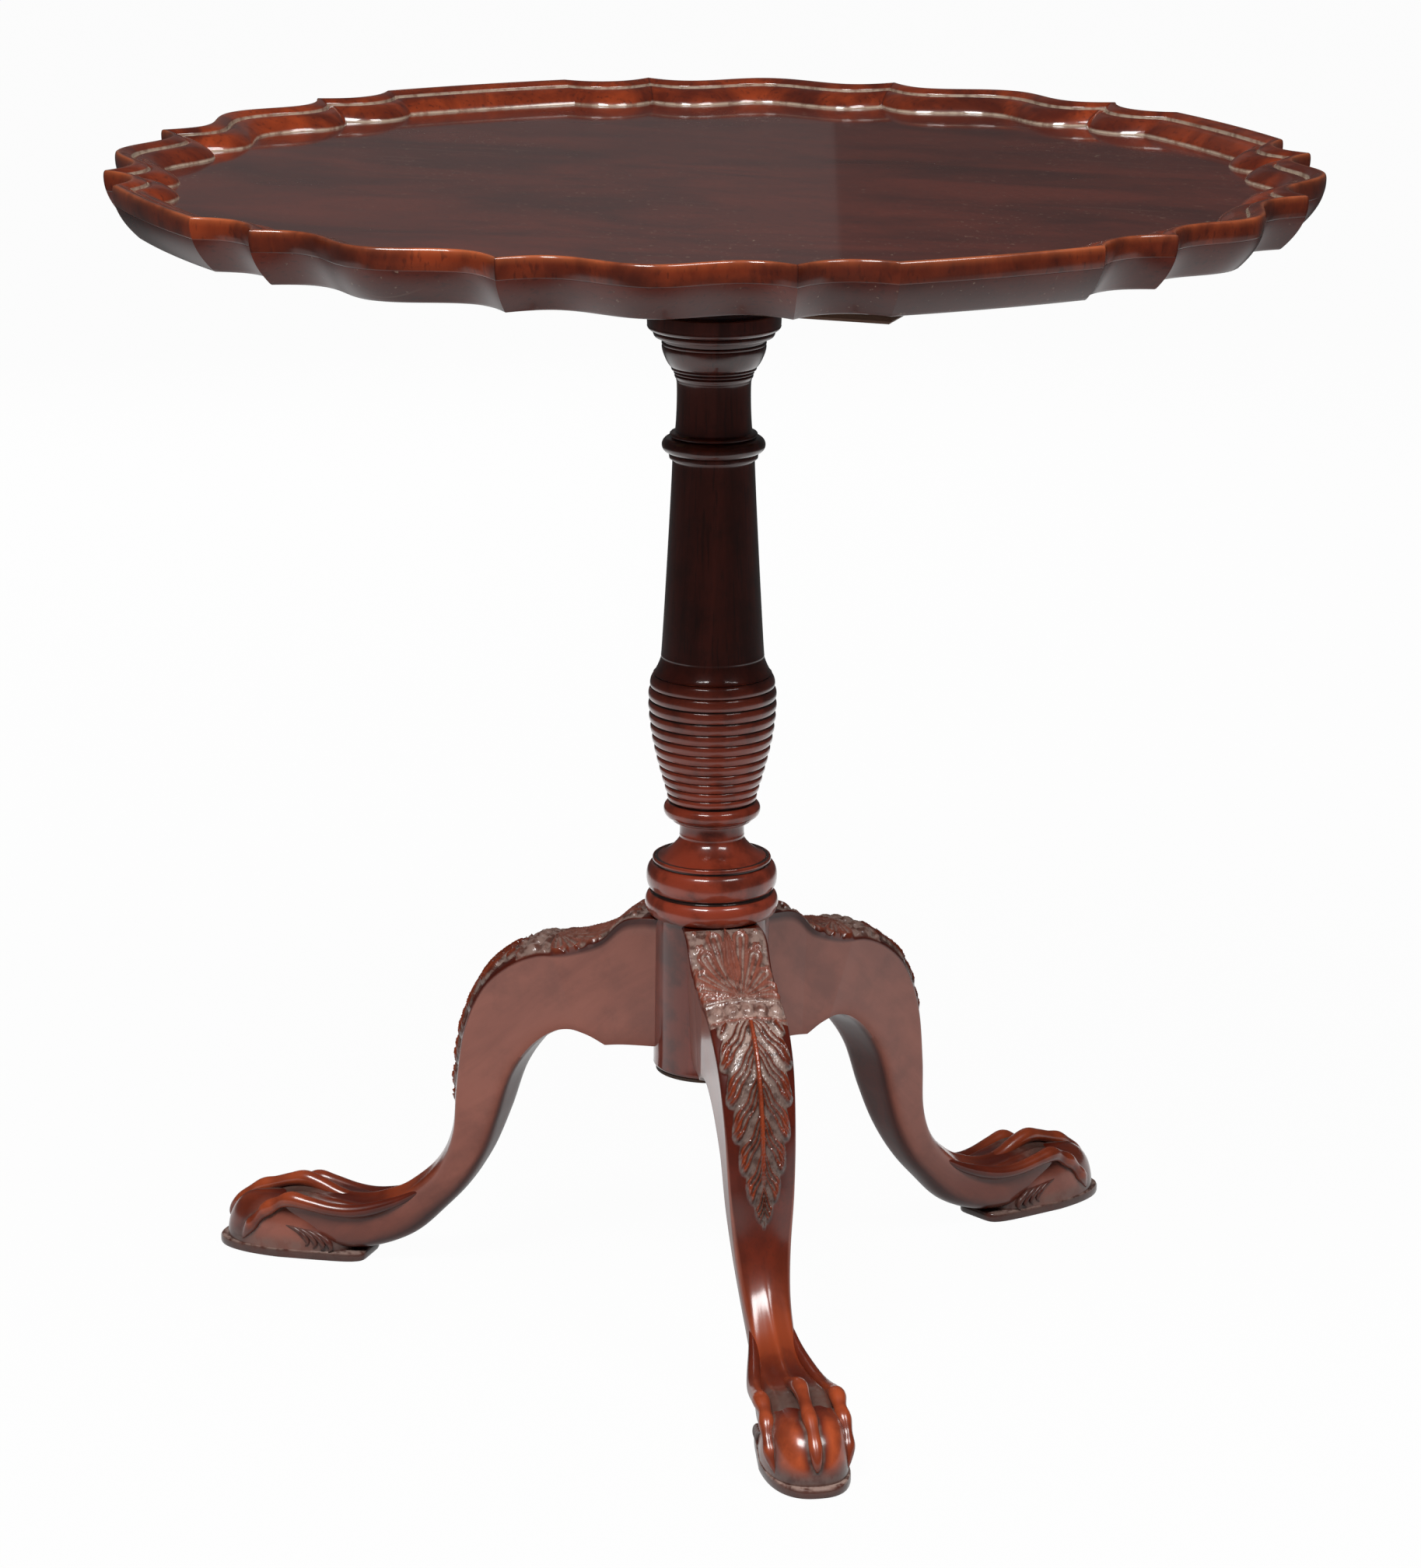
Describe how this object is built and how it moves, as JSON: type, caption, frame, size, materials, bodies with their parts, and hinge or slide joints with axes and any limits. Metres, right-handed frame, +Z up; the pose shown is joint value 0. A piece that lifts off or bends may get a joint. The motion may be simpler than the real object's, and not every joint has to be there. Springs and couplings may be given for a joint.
{
  "type": "piecrust tilt-top tea table",
  "caption": "Round tea table with a scalloped raised rim on a turned column, with carved cabriole legs on ball-and-claw feet; its top tilts upright on a hinge block and has a slide bolt.",
  "frame": {"origin": "on the floor under the column's axis", "axes": "+Z up; the top tilts about an axis along Y, and its +X edge goes down; one leg points along -X"},
  "size_m": [0.736, 0.736, 0.733],
  "materials": {
    "top_mahogany": "french polished mahogany",
    "column_mahogany": "polished dark mahogany",
    "leg_mahogany": "waxed mahogany",
    "bearer_wood": "unpolished dark wood",
    "pin_wood": "bare hardwood",
    "brass": "old lacquered brass",
    "iron": "dark oxidised iron"
  },
  "bodies": {
    "pedestal": {"column": "column_mahogany", "leg_left": "leg_mahogany", "leg_front": "leg_mahogany", "leg_back": "leg_mahogany", "hinge_block": "bearer_wood", "hinge_pin_front": "pin_wood", "hinge_pin_back": "pin_wood", "tenon_wedge": "pin_wood", "pillar_plate": "iron", "pillar_plate_screws": "iron", "keeper_plate": "brass", "keeper_screws": "brass"},
    "top": {"top_board": "top_mahogany", "rim_broad_1": "top_mahogany", "rim_broad_2": "top_mahogany", "rim_broad_3": "top_mahogany", "rim_broad_4": "top_mahogany", "rim_side_1": "top_mahogany", "rim_side_2": "top_mahogany", "rim_side_3": "top_mahogany", "rim_side_4": "top_mahogany", "rim_side_5": "top_mahogany", "rim_side_6": "top_mahogany", "rim_side_7": "top_mahogany", "rim_side_8": "top_mahogany", "bearer_front": "bearer_wood", "bearer_back": "bearer_wood", "bearer_screws": "iron", "catch_plate": "brass", "catch_screws": "brass"},
    "slide_bolt": {"catch_bolt": "brass", "catch_knob": "brass"}
  },
  "joints": [
    {"name": "top_tilt", "type": "hinge", "parent": "pedestal", "child": "top", "pos_m": [0.075, 0, 0.6845], "axis": [0, 1, 0], "range_deg": [0, 90]},
    {"name": "bolt_slide", "type": "slide", "parent": "top", "child": "slide_bolt", "axis": [1, 0, 0], "range_m": [0, 0.009]}
  ]
}
